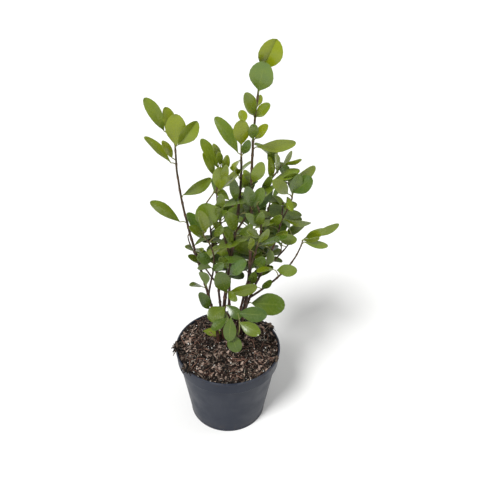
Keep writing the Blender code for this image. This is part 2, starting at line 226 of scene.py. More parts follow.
class Sheet:
    """A node tree under construction."""

    def __init__(self, tree):
        self.tree = tree

    def node(self, kind, settings, sockets, output=0):
        """Adds a node: its settings first, then a value or a wire for each socket."""
        made = self.tree.nodes.new(kind)
        for name, setting in settings.items():
            setattr(made, name, setting)
        for name, value in sockets.items():
            self.feed(made.inputs[name], value)
        return Wire(self, made.outputs[output])

    def feed(self, socket, value):
        if isinstance(value, Wire):
            self.tree.links.new(value.socket, socket)
        else:
            socket.default_value = value

    def mix(self, factor, first, second):
        """Two colours mixed by a factor from 0 to 1."""
        return self.node(
            "ShaderNodeMix", {"data_type": "RGBA"}, {0: factor, 6: first, 7: second}, 2
        )

    def grain(self, scale, detail=2.0, stretch=(1.0, 1.0, 1.0)):
        """Noise from 0 to 1 on the piece's own coordinates, in waves per metre."""
        place_on = self.node("ShaderNodeTexCoord", {}, {}, "Object")
        place_on = self.node("ShaderNodeMapping", {}, {"Vector": place_on, "Scale": stretch})
        return self.node(
            "ShaderNodeTexNoise", {}, {"Vector": place_on, "Scale": scale, "Detail": detail}, 0
        )

    def patches(self, waves, detail, start, full, stretch=(1.0, 1.0, 1.0)):
        """Uneven patches of noise: 0 between them and 1 within."""
        return self.grain(waves, detail, stretch).between(start, full)

    def reads(self, name):
        """A number that the mesh holds at each point."""
        return self.node("ShaderNodeAttribute", {"attribute_name": name}, {}, "Fac")

    def height(self):
        """The height over the table, in metres."""
        place_on = self.node("ShaderNodeTexCoord", {}, {}, "Object")
        return self.node("ShaderNodeSeparateXYZ", {}, {0: place_on}, "Z")


class Finish(Sheet):
    """A material whose Principled shader is fed from sums of wires."""

    def __init__(self, name, **fixed):
        self.material = bpy.data.materials.new(name)
        self.material.use_nodes = True
        super().__init__(self.material.node_tree)
        self.shader = self.tree.nodes["Principled BSDF"]
        for socket, value in fixed.items():
            self.shader.inputs[socket.replace("_", " ")].default_value = value

    def set(self, socket, value):
        self.feed(self.shader.inputs[socket], value)

    def relief(self, height, depth, strength=1.0):
        """Bumps of a real depth, in metres, where the height wire is 1."""
        given = {"Height": height, "Distance": depth, "Strength": strength}
        self.set("Normal", self.node("ShaderNodeBump", {}, given))


def plain_mesh(thing):
    """The mesh that an object makes with its modifiers; the object goes."""
    bpy.context.view_layer.update()
    graph = bpy.context.evaluated_depsgraph_get()
    mesh = bpy.data.meshes.new_from_object(thing.evaluated_get(graph))
    thing.modifiers.clear()
    bpy.data.objects.remove(thing)
    return mesh


def eased(corners, steps=4):
    """A turned outline from (radius, height, rounding) corners, each drawn as a small arc."""
    outline = []
    for index, (radius, height, rounding) in enumerate(corners):
        corner = Vector((radius, height))
        if not rounding:
            outline.append(corner)
            continue
        before = Vector(corners[index - 1][:2])
        after = Vector(corners[index + 1][:2])
        start = corner + (before - corner).normalized() * rounding
        end = corner + (after - corner).normalized() * rounding
        for step in range(steps + 1):
            share = step / steps
            outline.append(start.lerp(corner, share).lerp(corner.lerp(end, share), share))
    return outline


def ring(radius, level, count, middle=(0.0, 0.0)):
    """Points evenly round a level circle."""
    angles = [math.tau * step / count for step in range(count)]
    x, y = middle
    return [(x + radius * math.cos(angle), y + radius * math.sin(angle), level) for angle in angles]


def band(low, high, count):
    """Faces between two rings of points, from the first point of each."""
    pairs = [(side, (side + 1) % count) for side in range(count)]
    return [(low + side, high + side, high + after, low + after) for side, after in pairs]


def turned(name, outline, turns):
    """An outline from the axis to the axis, turned once round it into a closed mesh."""
    points = [(0.0, 0.0, outline[0].y)]
    for corner in outline[1:-1]:
        points.extend(ring(corner.x, corner.y, turns))
    points.append((0.0, 0.0, outline[-1].y))
    last = len(points) - 1
    faces = [(0, 1 + turn, 1 + (turn + 1) % turns) for turn in range(turns)]
    for low in range(1, last - turns, turns):
        faces.extend(band(low, low + turns, turns))
    low = last - turns
    faces.extend((last, low + (turn + 1) % turns, low + turn) for turn in range(turns))
    mesh = bpy.data.meshes.new(name)
    mesh.from_pydata(points, [], faces)
    return mesh


def shade(mesh, finish, sharp):
    """Gives a mesh its finish, smooth but for edges sharper than an angle in degrees."""
    mesh.materials.clear()
    mesh.materials.append(finish.material)
    mesh.shade_smooth()
    mesh.set_sharp_from_angle(angle=math.radians(sharp))


def drain_cutter():
    """Short round bars, one for each drain hole and one for the middle."""
    points, faces = [], []
    middles = [(0.0, 0.0)] + [(x, y) for x, y, level in ring(DRAIN_CIRCLE, 0.0, DRAIN_HOLES)]
    for middle in middles:
        low = len(points)
        high = low + DRAIN_SIDES
        points.extend(ring(DRAIN_RADIUS, -DRAIN_DEPTH, DRAIN_SIDES, middle))
        points.extend(ring(DRAIN_RADIUS, DRAIN_DEPTH, DRAIN_SIDES, middle))
        faces.append(tuple(reversed(range(low, high))))
        faces.append(tuple(range(high, high + DRAIN_SIDES)))
        faces.extend(band(high, low, DRAIN_SIDES))
    mesh = bpy.data.meshes.new("drain_cutter")
    mesh.from_pydata(points, [], faces)
    return mesh


# The pot's outline, from the middle of its floor up the inside, over the lip and down to the middle
# of its underside: radius, height and rounding
pot_outline = eased([
    (0.0, POT_FLOOR, 0),
    (BASE_RADIUS - WALL, POT_FLOOR, 0.0012),
    (WALL_TOP_RADIUS - WALL, COLLAR_BOTTOM - WALL, 0.0005),
    (RIM_RADIUS - COLLAR_TAPER - WALL, COLLAR_BOTTOM + WALL, 0.0005),
    (RIM_RADIUS - WALL - 0.0002, POT_HEIGHT, 0.0006),
    (RIM_RADIUS + 0.0001, POT_HEIGHT, 0.0006),
    (RIM_RADIUS + 0.0001, POT_HEIGHT - 0.0022, 0.0003),
    (RIM_RADIUS - 0.0004, POT_HEIGHT - 0.0026, 0.0003),
    (RIM_RADIUS - COLLAR_TAPER, COLLAR_BOTTOM, 0.0007),
    (WALL_TOP_RADIUS + 0.0002, COLLAR_BOTTOM - 0.0001, 0.0012),
    (BASE_RADIUS + 0.0006, 0.0042, 0.0008),
    (BASE_RADIUS + 0.0004, 0.0, 0.0009),
    (BASE_RADIUS - FOOT_RING, 0.0, 0.0005),
    (BASE_RADIUS - FOOT_RING - FOOT_RECESS, FOOT_RECESS, 0.0003),
    (0.0, FOOT_RECESS, 0),
])
pot_block = place("pot_block", turned("pot_block", pot_outline, POT_TURNS))
drains = place("drains", drain_cutter())
drilling = pot_block.modifiers.new("drilling", "BOOLEAN")
drilling.operation = "DIFFERENCE"
drilling.solver = "EXACT"
drilling.object = drains
pot_mesh = plain_mesh(pot_block)
bpy.data.objects.remove(drains)

plastic = Finish("moulded_plastic", Specular_IOR_Level=PLASTIC_GLOSS)
flow_marks = plastic.grain(FLOW_WAVES, 3.0, FLOW_STRETCH)
scuffs = plastic.patches(*SCUFFS, SCUFF_STRETCH)
up = plastic.height()
lip_wear = up.between(POT_HEIGHT - LIP_WEAR_DEPTH, POT_HEIGHT - 0.0004) * plastic.patches(*LIP_WEAR)
rim_dust = up.between(POT_HEIGHT - RIM_DUST_DEPTH, POT_HEIGHT) * plastic.patches(*RIM_DUST)
foot_dust = up.between(FOOT_DUST_HEIGHT, 0.0) * plastic.patches(*FOOT_DUST)
colour = plastic.mix(flow_marks, PLASTIC_DARK, PLASTIC_PALE)
colour = plastic.mix(scuffs * 0.22, colour, PLASTIC_WORN)
colour = plastic.mix(lip_wear * 0.60, colour, PLASTIC_WORN)
colour = plastic.mix((rim_dust * 0.55 + foot_dust * 0.35).kept(), colour, SOIL_DUST)
plastic.set("Base Color", colour)
clouds = plastic.patches(*CLOUDS)
plastic.set("Roughness", 0.36 + clouds * 0.14 + scuffs * 0.10 + rim_dust * 0.25)
plastic.relief(plastic.grain(PLASTIC_GRAIN, 2.0) + scuffs * 0.3, PLASTIC_GRAIN_DEPTH, 0.5)
shade(pot_mesh, plastic, 35)

pot = place("nursery_pot", pot_mesh)
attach(pot, "root")
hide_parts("pot")


# Compost
# Peat and composted bark filled by hand almost to the rim and settled by watering: dark brown and
# uneven, with red-brown bark fibre, bark chips, crumbs and white grains of perlite in it.

SOIL_LEVEL = 0.0824
SOIL_RADIUS = 0.0502
SOIL_DROP = 0.0004
SOIL_LUMP = 0.0100
SOIL_LUMP_HEIGHT = 0.0022
SOIL_CRUMB = 0.0024
SOIL_CRUMB_HEIGHT = 0.0008
SOIL_RINGS = 44
SOIL_TURNS = 176
SOIL_BOTTOM = POT_FLOOR + 0.0003
SOIL_CLEAR = 0.0005

SOIL_BLACK = (0.003, 0.0025, 0.002, 1.0)
SOIL_BROWN = (0.024, 0.016, 0.011, 1.0)
SOIL_RED = (0.085, 0.042, 0.028, 1.0)
SOIL_GLOSS = 0.12
SOIL_RELIEF = 0.0006

# The soil's clods, specks and patches of specks, as for the marks on the plastic
SOIL_CLODS = (240.0, 5.0, 0.38, 0.66)
SOIL_SPECKS = (900.0, 3.0, 0.52, 0.70)
SOIL_PATCHES = (90.0, 3.0, 0.45, 0.62)

# Each kind of bit: how many, size from and to in metres, tilt in radians, and how its lengths
# compare (x, y, z)
BITS = {
    "crumbs": (3400, 0.0009, 0.0031, 1.6, (1.0, 0.8, 0.65)),
    "bark_chips": (1300, 0.0018, 0.0056, 0.75, (1.0, 0.50, 0.18)),
    "bark_fibres": (380, 0.0040, 0.0120, 0.34, (1.0, 0.065, 0.050)),
    "pale_fibres": (170, 0.0030, 0.0080, 0.40, (1.0, 0.060, 0.050)),
    "perlite": (420, 0.0007, 0.0022, 1.6, (1.0, 0.85, 0.75)),
}
BIT_COLOURS = {
    "crumbs": ((0.003, 0.0025, 0.002, 1.0), (0.150, 0.108, 0.080, 1.0)),
    "bark_chips": ((0.006, 0.004, 0.003, 1.0), (0.420, 0.310, 0.250, 1.0)),
    "bark_fibres": ((0.030, 0.013, 0.009, 1.0), (0.300, 0.165, 0.120, 1.0)),
    "pale_fibres": ((0.120, 0.095, 0.070, 1.0), (0.480, 0.430, 0.350, 1.0)),
    "perlite": ((0.450, 0.440, 0.410, 1.0), (0.900, 0.890, 0.860, 1.0)),
}
BIT_ROUGHNESS = 0.85
BIT_GLOSS = 0.20
BIT_STREAKS = 700.0
BIT_RELIEF = 0.0003
BIT_GIRTHS = (0.55, 1.0, 0.9, 0.45)
BIT_SIDES = 5
BIT_BEND = 0.10
BIT_MARGIN = 0.0010
SOIL_SEED = 11

STRANDS = 34
STRAND_THICKNESS = (0.0003, 0.0009)
STRAND_STEPS = 4
STRAND_SIDES = 3
THICK_EVERY = 4
HEAP = 0.30

# Clumps of bark and fibre that hang over the rim, by the pixel at which each shows, and its length
RIM_CLUMPS = {
    "clump_left": ((173.0, 347.0), 0.0120),
    "clump_left_front": ((178.0, 374.0), 0.0095),
    "clump_right": ((277.5, 360.0), 0.0045),
    "clump_back_right": ((271.0, 326.0), 0.0100),
}


def soil_height(x, y):
    """The top of the compost: lumps and crumbs, falling a little against the pot."""
    radius = math.hypot(x, y)
    lump = noise.noise(Vector((x, y, 0.3)) / SOIL_LUMP)
    crumb = noise.noise(Vector((x, y, 0.7)) / SOIL_CRUMB)
    edge = max(0.0, radius - 0.75 * SOIL_RADIUS) / (0.25 * SOIL_RADIUS)
    return (
        SOIL_LEVEL + SOIL_LUMP_HEIGHT * (lump + 0.35) * min(1.0, radius / 0.020)
        + SOIL_CRUMB_HEIGHT * crumb - SOIL_DROP * edge * edge
    )


def soil_top():
    """Rings of points over the compost, closer together than its crumbs."""
    points = [(0.0, 0.0, soil_height(0.0, 0.0))]
    for step in range(1, SOIL_RINGS + 1):
        level_ring = ring(SOIL_RADIUS * step / SOIL_RINGS, 0.0, SOIL_TURNS)
        points.extend((x, y, soil_height(x, y)) for x, y, level in level_ring)
    faces = []
    for turn in range(SOIL_TURNS):
        after = (turn + 1) % SOIL_TURNS
        faces.append((0, 1 + turn, 1 + after))
        for low in range(1, 1 + (SOIL_RINGS - 1) * SOIL_TURNS, SOIL_TURNS):
            high = low + SOIL_TURNS
            faces.append((low + turn, high + turn, high + after, low + after))
    return points, faces


def soil_body():
    """The top, a side that follows the inside of the pot, and a flat bottom."""
    points, faces = soil_top()
    sides = [
        (RIM_RADIUS - COLLAR_TAPER - WALL - SOIL_CLEAR, COLLAR_BOTTOM + WALL + SOIL_CLEAR),
        (WALL_TOP_RADIUS - WALL - SOIL_CLEAR, COLLAR_BOTTOM - WALL),
        (BASE_RADIUS - WALL - SOIL_CLEAR, SOIL_BOTTOM),
    ]
    for radius, level in sides:
        low = len(points)
        points.extend(ring(radius, level, SOIL_TURNS))
        faces.extend(band(low - SOIL_TURNS, low, SOIL_TURNS))
    low = len(points) - SOIL_TURNS
    points.append((0.0, 0.0, SOIL_BOTTOM))
    for turn in range(SOIL_TURNS):
        faces.append((len(points) - 1, low + (turn + 1) % SOIL_TURNS, low + turn))
    mesh = bpy.data.meshes.new("soil")
    mesh.from_pydata(points, [], faces)
    return mesh


def bit_shape(name, lengths):
    """One lump with a few rings of corners, drawn out to its lengths and a little bent."""
    draw = random.Random(name)
    points, faces = [], []
    last = len(BIT_GIRTHS) - 1
    for step, girth in enumerate(BIT_GIRTHS):
        share = step / last
        bend = BIT_BEND * lengths[0] * math.sin(math.pi * share)
        for side in range(BIT_SIDES):
            angle = math.tau * side / BIT_SIDES
            wide = girth * draw.uniform(0.8, 1.15)
            points.append((
                (share - 0.5) * lengths[0],
                wide * math.cos(angle) * lengths[1] / 2,
                wide * math.sin(angle) * lengths[2] / 2 + bend,
            ))
    for low in range(0, last * BIT_SIDES, BIT_SIDES):
        faces.extend(band(low + BIT_SIDES, low, BIT_SIDES))
    faces.append(tuple(reversed(range(BIT_SIDES))))
    faces.append(tuple(range(last * BIT_SIDES, len(points))))
    mesh = bpy.data.meshes.new(name)
    mesh.from_pydata(points, [], faces)
    return place(name, mesh)


class Recipe(Sheet):
    """A Geometry Nodes tree with named inputs, each given its kind and its value."""

    def __init__(self, name, **inputs):
        super().__init__(bpy.data.node_groups.new(name, "GeometryNodeTree"))
        self.tree.is_modifier = True
        sockets = self.tree.interface
        sockets.new_socket("Geometry", in_out="INPUT", socket_type="NodeSocketGeometry")
        for input_name, (kind, value) in inputs.items():
            socket = sockets.new_socket(input_name, in_out="INPUT", socket_type="NodeSocket" + kind)
            if value is not None:
                socket.default_value = value
        sockets.new_socket("Geometry", in_out="OUTPUT", socket_type="NodeSocketGeometry")
        given = self.tree.nodes.new("NodeGroupInput")
        self.given = {socket.name: Wire(self, socket) for socket in given.outputs if socket.name}

    def close(self, shape):
        """Makes the shape real, gives it its material and ends the tree with it."""
        real = self.node("GeometryNodeRealizeInstances", {}, {"Geometry": shape})
        dressed = self.node(
            "GeometryNodeSetMaterial", {}, {"Geometry": real, "Material": self.given["Material"]}
        )
        self.feed(self.tree.nodes.new("NodeGroupOutput").inputs["Geometry"], dressed)
        return self.tree


def scatter_tree():
    """Drops copies of a shape on a surface, each turned, tilted and sized by chance."""
    recipe = Recipe(
        "scatter", Shape=("Object", None), Density=("Float", 1.0), Smallest=("Float", 0.001),
        Largest=("Float", 0.002), Tilt=("Float", 0.3), Seed=("Int", 0), Material=("Material", None),
    )
    given = recipe.given

    def chance(low, high, offset):
        between = {2: low, 3: high, 8: given["Seed"] + offset}
        return recipe.node("FunctionNodeRandomValue", {"data_type": "FLOAT"}, between, 1)

    points = recipe.node(
        "GeometryNodeDistributePointsOnFaces", {},
        {"Mesh": given["Geometry"], "Density": given["Density"], "Seed": given["Seed"]},
    )
    shape = recipe.node("GeometryNodeObjectInfo", {}, {"Object": given["Shape"]}, "Geometry")
    tilt = given["Tilt"]
    turn = recipe.node("ShaderNodeCombineXYZ", {}, {
        0: chance(0.0 - tilt, tilt, 1), 1: chance(0.0 - tilt, tilt, 2), 2: chance(0.0, math.tau, 3),
    })
    copies = recipe.node("GeometryNodeInstanceOnPoints", {}, {
        "Points": points, "Instance": shape, "Rotation": turn,
        "Scale": chance(given["Smallest"], given["Largest"], 4),
    })
    return recipe.close(recipe.node(
        "GeometryNodeStoreNamedAttribute", {"data_type": "FLOAT", "domain": "INSTANCE"},
        {"Geometry": copies, "Name": "tone", "Value": chance(0.0, 1.0, 5)},
    ))


def made_by(tree, name, mesh, given):
    """The plain mesh that a node tree makes from a mesh, with these named inputs."""
    base = place(name + "_base", mesh)
    modifier = base.modifiers.new(tree.name, "NODES")
    modifier.node_group = tree
    for socket in tree.interface.items_tree:
        if socket.in_out == "INPUT" and socket.name in given:
            modifier[socket.identifier] = given[socket.name]
    made = plain_mesh(base)
    made.name = name
    return made


soil = Finish("soil", Specular_IOR_Level=SOIL_GLOSS)
soil_clods = soil.patches(*SOIL_CLODS)
soil_specks = soil.patches(*SOIL_SPECKS) * soil.patches(*SOIL_PATCHES)
colour = soil.mix(soil_clods, SOIL_BLACK, SOIL_BROWN)
soil.set("Base Color", soil.mix(soil_specks, colour, SOIL_RED))
soil.set("Roughness", 0.80 + soil_clods * 0.18)
soil.relief(soil_clods + soil.grain(1500.0, 3.0) * 0.5, SOIL_RELIEF)
soil_mesh = soil_body()
shade(soil_mesh, soil, 60)
compost = place("compost_fill", soil_mesh)
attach(compost, "root")
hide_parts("compost")


def bit_finish(name):
    """Streaked bits, most of them dark and a few pale, by the tone that each was given."""
    finish = Finish(name, Roughness=BIT_ROUGHNESS, Specular_IOR_Level=BIT_GLOSS)
    dark, pale = BIT_COLOURS[name]
    streaks = finish.grain(BIT_STREAKS, 3.0)
    paleness = finish.reads("tone") * 1.7 + streaks * 0.9 - 1.25
    finish.set("Base Color", finish.mix(paleness.kept(), dark, pale))
    finish.relief(streaks, BIT_RELIEF)
    return finish


scatter = scatter_tree()
soil_area = math.pi * SOIL_RADIUS ** 2
mouth = RIM_RADIUS - WALL - BIT_MARGIN
for number, (bit_name, (count, small, large, tilt, lengths)) in enumerate(BITS.items()):
    top_points, top_faces = soil_top()
    bed = bpy.data.meshes.new(bit_name + "_bed")
    bed.from_pydata([(x, y, z + small * 0.3) for x, y, z in top_points], [], top_faces)
    shape = bit_shape(bit_name + "_shape", lengths)
    bit_mesh = made_by(scatter, bit_name, bed, {
        "Shape": shape, "Density": count / soil_area, "Smallest": small, "Largest": large,
        "Tilt": tilt, "Seed": SOIL_SEED + number, "Material": bit_finish(bit_name).material,
    })
    bpy.data.objects.remove(shape)
    for vertex in bit_mesh.vertices:
        out = math.hypot(vertex.co.x, vertex.co.y)
        if out > mouth:
            vertex.co.x *= mouth / out
            vertex.co.y *= mouth / out
            vertex.co.z = max(vertex.co.z, SOIL_LEVEL - SOIL_DROP) + (out - mouth)
    bits = place(bit_name, bit_mesh)
    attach(bits, "root")


def strand_points(draw, start, way, reach, thick, lift):
    """Rings of points along a strand that lies on the rim and droops where it passes it."""
    points = []
    last = STRAND_STEPS - 1
    for step in range(STRAND_STEPS):
        point = start + way * reach * step / last * draw.uniform(0.9, 1.0)
        past = math.hypot(point.x, point.y) - RIM_RADIUS
        point.z = POT_HEIGHT + thick + lift - max(0.0, past) * draw.uniform(0.5, 1.3)
        if past < -2 * WALL:
            point.z -= 0.0010
        girth = thick * (1.0 if 0 < step < last else 0.6)
        aside = way.cross(Vector((0.0, 0.0, 1.0)))
        for corner in range(STRAND_SIDES):
            angle = math.tau * corner / STRAND_SIDES
            across = Vector((0.0, 0.0, math.sin(angle))) + aside * math.cos(angle)
            points.append(point + across * girth)
    return points


def clump_mesh():
    """Chips and fibres that lean out from the compost over the edge of the pot."""
    draw = random.Random(SOIL_SEED)
    points, faces, tones = [], [], []
    for pixel, length in RIM_CLUMPS.values():
        middle = sight(pixel, z=POT_HEIGHT)
        outward = Vector((middle.x, middle.y, 0.0)).normalized()
        aside = Vector((-outward.y, outward.x, 0.0))
        for strand in range(STRANDS):
            way = outward * draw.uniform(0.0, 1.0) + aside * draw.uniform(-1.0, 1.0)
            way.normalize()
            reach = length * draw.uniform(0.4, 1.0)
            spread = draw.uniform(-0.5, 0.5)
            start = outward * (RIM_RADIUS - WALL * 0.5) + aside * spread * length
            start -= way * reach * draw.uniform(0.3, 0.7)
            thick = draw.uniform(*STRAND_THICKNESS) * (1.8 if strand % THICK_EVERY == 0 else 1.0)
            lift = draw.uniform(0.0, HEAP) * length * (1 - 2 * abs(spread))
            tone = draw.random()
            first = len(points)
            points.extend(strand_points(draw, start, way, reach, thick, lift))
            last = len(points) - STRAND_SIDES
            tones.extend([tone] * (len(points) - first))
            for low in range(first, last, STRAND_SIDES):
                faces.extend(band(low, low + STRAND_SIDES, STRAND_SIDES))
            faces.append(tuple(range(first, first + STRAND_SIDES)))
            faces.append(tuple(reversed(range(last, len(points)))))
    mesh = bpy.data.meshes.new("rim_clumps")
    mesh.from_pydata(points, [], faces)
    mesh.attributes.new("tone", "FLOAT", "POINT").data.foreach_set("value", tones)
    return mesh


clumps = clump_mesh()
clumps.materials.append(bpy.data.materials["crumbs"])
rim_clumps = place("rim_clumps", clumps)
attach(rim_clumps, "root")


# Stems and boughs
# The living wood: thin upright stems from one root, red-brown where the bark is old, and side
# boughs that leave them at the leaf nodes. Each is round with a slight swelling at every node.

# Every standing stem: foot (x, y), lean at the foot, top (x, y, z), lean at the top, and the
# diameters at foot and top. A lean is the sideways travel for each metre of rise.
STEMS = {
    "stem_left": (
        (-0.009, 0.007), (-0.08, 0.0), (-0.044, 0.016, 0.297), (0.03, 0.0), (0.0028, 0.0014)
    ),
    "stem_middle": (
        (-0.004, 0.012), (-0.06, 0.0), (0.011, 0.004, 0.294), (-0.03, 0.0), (0.0036, 0.0016)
    ),
    "stem_tall": (
        (0.006, 0.009), (0.30, 0.0), (0.026, -0.002, 0.370), (0.17, -0.05), (0.0034, 0.0013)
    ),
    "stem_right": (
        (0.013, 0.017), (-0.04, 0.05), (0.049, 0.020, 0.240), (-0.06, 0.05), (0.0028, 0.0012)
    ),
    "stem_front": (
        (0.001, 0.003), (0.0, -0.10), (0.006, -0.010, 0.106), (0.20, -0.70), (0.0022, 0.0012)
    ),
    "stem_back_left": (
        (-0.005, 0.017), (-0.05, 0.20), (-0.020, 0.045, 0.225), (-0.10, 0.10), (0.0026, 0.0012)
    ),
    "stem_back_middle": (
        (0.001, 0.020), (0.0, 0.20), (0.006, 0.046, 0.250), (0.05, 0.05), (0.0028, 0.0013)
    ),
    "stem_back_right": (
        (0.009, 0.021), (0.10, 0.20), (0.040, 0.050, 0.222), (0.20, 0.10), (0.0026, 0.0012)
    ),
}

# Every side bough: the limb that it leaves, and where along it from 0 to 1, then as for a stem
# from its lean at the foot on.
BOUGHS = {
    "bough_left_short": (
        "stem_left", 0.28, (0.05, -0.15), (-0.021, -0.008, 0.223), (-0.60, -0.20), (0.0018, 0.0010)
    ),
    "bough_middle_left": (
        "stem_middle", 0.50, (-0.20, -0.20), (-0.009, -0.008, 0.273), (0.07, -0.10),
        (0.0019, 0.0011)
    ),
    "bough_middle_right": (
        "stem_middle", 0.64, (0.70, 0.20), (0.046, 0.018, 0.278), (0.80, 0.30), (0.0018, 0.0010)
    ),
    "bough_tall_side": (
        "stem_tall", 0.32, (0.12, -0.25), (0.025, -0.001, 0.250), (-0.40, 0.0), (0.0020, 0.0011)
    ),
    "bough_right_low": (
        "stem_right", 0.32, (1.00, -0.20), (0.065, -0.012, 0.221), (0.10, -0.30), (0.0020, 0.0010)
    ),
    "bough_right_fork": (
        "stem_right", 0.88, (0.35, -0.05), (0.054, 0.014, 0.260), (-0.50, 0.0), (0.0014, 0.0010)
    ),
    "bough_back_left": (
        "stem_back_left", 0.40, (-0.50, -0.10), (-0.038, 0.034, 0.195), (0.0, 0.0), (0.0017, 0.0010)
    ),
    "bough_back_right": (
        "stem_back_right", 0.40, (0.60, -0.10), (0.060, 0.030, 0.198), (0.0, 0.0), (0.0017, 0.0010)
    ),
}

GROUND = 0.0805
BELOW_GROUND = 0.004
FLARE = 0.55
FLARE_HEIGHT = 0.007
LIMB_STEP = 0.0012
LIMB_SIDES = 12
NODE_SPACING = 0.0125
NODE_SWELL = 0.34
NODE_LENGTH = 0.0009
KINK = 0.00035
NEAREST_STEPS = 120
NEAREST_FROM = 8

BARK_DARK = (0.013, 0.007, 0.005, 1.0)
BARK_RED = (0.070, 0.028, 0.016, 1.0)
BARK_GREEN = (0.095, 0.075, 0.020, 1.0)
BARK_SCAR = (0.200, 0.120, 0.085, 1.0)
BARK_SKIN = 1.15
BARK_GLOSS = 0.30
BARK_ROUGH = 0.34
BARK_LUMPS = 700.0
BARK_STREAKS = 420.0
STREAK_STRETCH = (1.0, 1.0, 0.22)
BARK_FLECKS = (1300.0, 2.0, 0.60, 0.72)
GREEN_FROM = 0.16
GREEN_FULL = 0.36


class Limb:
    """A stem or bough. Its height rises evenly and its sideways place follows a cubic."""

    def __init__(self, foot, foot_lean, top, top_lean, girth, stands):
        self.foot = foot
        self.foot_lean = Vector((*foot_lean, 0.0))
        self.top = Vector(top)
        self.top_lean = Vector((*top_lean, 0.0))
        self.girth = girth
        self.stands = stands
        self.rise = self.top.z - foot.z

    def at(self, share):
        t = share
        point = self.foot * (2 * t**3 - 3 * t**2 + 1) + self.top * (3 * t**2 - 2 * t**3)
        point += self.foot_lean * (t**3 - 2 * t**2 + t) * self.rise
        point += self.top_lean * (t**3 - t**2) * self.rise
        point.z = self.foot.z + self.rise * t
        return point

    def way(self, share):
        return (self.at(share + 0.01) - self.at(share - 0.01)).normalized()

    def radius(self, share):
        thick, thin = self.girth
        radius = (thick + (thin - thick) * share) / 2
        if self.stands:
            radius *= 1 + FLARE * math.exp(-max(0.0, share) * self.rise / FLARE_HEIGHT)
        return radius

    def nearest(self, pixel):
        """The share at which the limb shows nearest to a pixel of the photograph."""
        shares = [step / NEAREST_STEPS for step in range(NEAREST_FROM, NEAREST_STEPS + 1)]
        return min(shares, key=lambda share: (seen(self.at(share)) - pixel).length)


limbs = {}
for limb_name, (foot, foot_lean, top, top_lean, girth) in STEMS.items():
    limbs[limb_name] = Limb(Vector((*foot, GROUND)), foot_lean, top, top_lean, girth, True)
for limb_name, (carrier, share, foot_lean, top, top_lean, girth) in BOUGHS.items():
    limbs[limb_name] = Limb(limbs[carrier].at(share), foot_lean, top, top_lean, girth, False)


class Paths:
    """Lines of points with a thickness and a tone at each, for a node tree that gives them bark."""

    def __init__(self):
        self.points, self.edges, self.thickness, self.tone = [], [], [], []

    def add(self, points, radii, tones):
        first = len(self.points)
        self.points.extend(points)
        self.thickness.extend(radii)
        self.tone.extend(tones)
        self.edges.extend((first + step, first + step + 1) for step in range(len(points) - 1))

    def mesh(self, name):
        mesh = bpy.data.meshes.new(name)
        mesh.from_pydata(self.points, self.edges, [])
        for kind, values in (("thickness", self.thickness), ("tone", self.tone)):
            mesh.attributes.new(kind, "FLOAT", "POINT").data.foreach_set("value", values)
        return mesh


def add_limb(paths, limb, seed):
    """A limb's path, kinked and swollen a little at its nodes. Its tone is 1 at a node's scar."""
    first = -BELOW_GROUND / limb.rise if limb.stands else 0.0
    steps = int(limb.rise / LIMB_STEP)
    points, radii, tones = [], [], []
    for step in range(steps + 1):
        share = first + (1 - first) * step / steps
        height = share * limb.rise
        place_in_node = (height / NODE_SPACING + seed * 0.37) % 1.0
        from_node = min(place_in_node, 1 - place_in_node) * NODE_SPACING
        scar = math.exp(-(from_node / NODE_LENGTH) ** 2) if height > NODE_SPACING else 0.0
        shift = Vector((
            noise.noise(Vector((height / NODE_SPACING, seed, 0.0))),
            noise.noise(Vector((height / NODE_SPACING, seed, 9.0))),
            0.0,
        )) * KINK * min(1.0, max(0.0, share) * 6)
        points.append(limb.at(share) + shift)
        radii.append(limb.radius(share) * (1 + NODE_SWELL * scar))
        tones.append(scar)
    paths.add(points, radii, tones)


def bark_tree():
    """Gives paths a round skin of their own thickness, roughened along its normals."""
    recipe = Recipe(
        "bark_skin", Sides=("Int", LIMB_SIDES), Relief=("Float", 0.2), Grain=("Float", 900.0),
        Material=("Material", None),
    )
    given = recipe.given
    lines = recipe.node("GeometryNodeMeshToCurve", {}, {"Mesh": given["Geometry"]})
    thickness = recipe.node(
        "GeometryNodeInputNamedAttribute", {"data_type": "FLOAT"}, {"Name": "thickness"},
        "Attribute",
    )
    outline = recipe.node(
        "GeometryNodeCurvePrimitiveCircle", {}, {"Resolution": given["Sides"], "Radius": BARK_SKIN}
    )
    skin = recipe.node(
        "GeometryNodeCurveToMesh", {},
        {"Curve": lines, "Profile Curve": outline, "Scale": thickness, "Fill Caps": True},
    )
    lumps = recipe.node("ShaderNodeTexNoise", {}, {"Scale": given["Grain"], "Detail": 3.0})
    normal = recipe.node("GeometryNodeInputNormal", {}, {})
    push = recipe.node(
        "ShaderNodeVectorMath", {"operation": "SCALE"},
        {0: normal, "Scale": (lumps - 0.5) * given["Relief"] * thickness},
    )
    rough = recipe.node("GeometryNodeSetPosition", {}, {"Geometry": skin, "Offset": push})
    return recipe.close(recipe.node("GeometryNodeSetShadeSmooth", {}, {"Geometry": rough}))


def bark_finish(name, greener):
    """Bark that is red-brown low down and greener towards the tips, with pale node scars."""
    finish = Finish(name, Specular_IOR_Level=BARK_GLOSS)
    streaks = finish.grain(BARK_STREAKS, 4.0, STREAK_STRETCH)
    flecks = finish.patches(*BARK_FLECKS)
    upward = finish.height().between(GREEN_FROM, GREEN_FULL)
    colour = finish.mix(streaks.between(0.35, 0.65), BARK_DARK, BARK_RED)
    colour = finish.mix((upward * 0.45 + greener).kept(), colour, BARK_GREEN)
    colour = finish.mix(finish.reads("tone") * 0.45, colour, BARK_SCAR)
    colour = finish.mix(flecks * 0.12, colour, BARK_SCAR)
    finish.set("Base Color", colour)
    finish.set("Roughness", 0.42 + streaks * 0.30)
    finish.relief(streaks, 0.00025, 0.8)
    return finish


